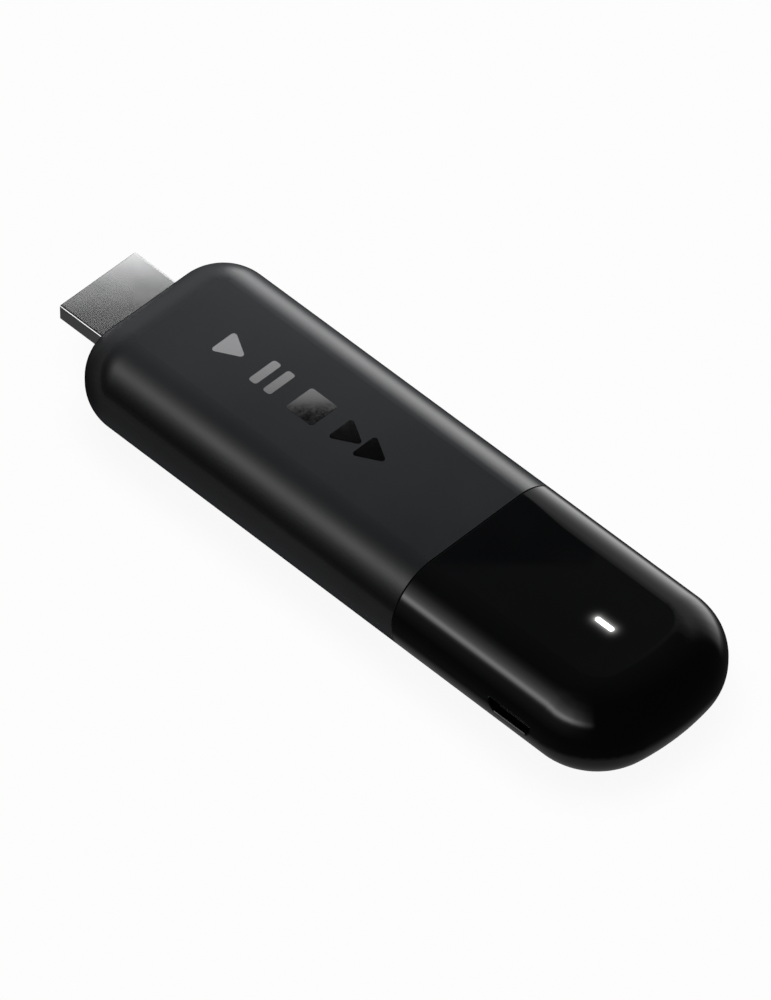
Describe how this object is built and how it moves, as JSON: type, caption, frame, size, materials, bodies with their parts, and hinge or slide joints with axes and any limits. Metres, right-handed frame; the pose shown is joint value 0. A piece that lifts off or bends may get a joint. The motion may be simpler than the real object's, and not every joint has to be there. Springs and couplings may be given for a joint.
{
  "type": "streaming media player",
  "caption": "Pill-shaped streaming stick with a matt sleeve, a gloss end cap with a status light, a rigid HDMI plug at its end and a micro-USB power socket in its side.",
  "frame": {"origin": "bottom centre of the whole bounding box, on the flat underside, midway along the length with the plug included", "axes": "+X along the stick towards the HDMI plug's tip, +Y towards the side with the micro-USB socket, +Z out of the face with the status light"},
  "size_m": [0.107, 0.03, 0.0146],
  "materials": {
    "case_matt": "fine moulded texture, black",
    "case_gloss": "polished black",
    "light_white": "clear diffuser, lit white",
    "plug_nickel": "satin nickel plate",
    "insert_black": "moulded insert",
    "contact_gold": "gold plate",
    "socket_steel": "bright tin plate",
    "board_green": "solder mask over glass-epoxy",
    "chip_black": "moulded epoxy",
    "radio_lid": "tinned steel can",
    "inductor_grey": "pressed ferrite",
    "crystal_metal": "nickel lid",
    "capacitor_tan": "ceramic with tinned ends",
    "led_white": "light-emitting diode",
    "shield_tin": "tin-plated sheet",
    "pad_pink": "soft silicone pad",
    "sink_aluminium": "stamped, bead-blasted",
    "spacer_brass": "turned",
    "screw_steel": "black zinc plate",
    "carrier_black": "glass-filled nylon",
    "bracket_white": "natural plastic",
    "antenna_copper": "stamped copper alloy",
    "cable_grey": "coaxial jacket",
    "cable_plug_gold": "gold plate"
  },
  "bodies": {
    "root": {"body_sleeve": "case_matt", "end_cap": "case_gloss", "light_pipe": "light_white", "carrier_frame": "carrier_black", "hdmi_shell": "plug_nickel", "hdmi_insulator": "insert_black", "hdmi_contacts_upper": "contact_gold", "hdmi_contacts_lower": "contact_gold", "usb_shell": "socket_steel", "usb_tongue": "insert_black", "usb_contacts": "contact_gold", "main_board": "board_green", "processor": "chip_black", "memory_chips": "chip_black", "flash_chip": "chip_black", "radio_module": "radio_lid", "power_chip": "chip_black", "power_inductors": "inductor_grey", "crystals": "crystal_metal", "ceramic_capacitors": "capacitor_tan", "status_led": "led_white", "shield_frame": "shield_tin", "shield_lid": "shield_tin", "processor_pad": "pad_pink", "upper_pad": "pad_pink", "lower_pad": "pad_pink", "upper_heat_sink": "sink_aluminium", "lower_heat_sink": "sink_aluminium", "spacers": "spacer_brass", "board_screws": "screw_steel", "heat_sink_screws": "screw_steel", "antenna_bracket": "bracket_white", "wifi_antennas": "antenna_copper", "antenna_cables": "cable_grey", "antenna_plugs": "cable_plug_gold"}
  },
  "joints": []
}
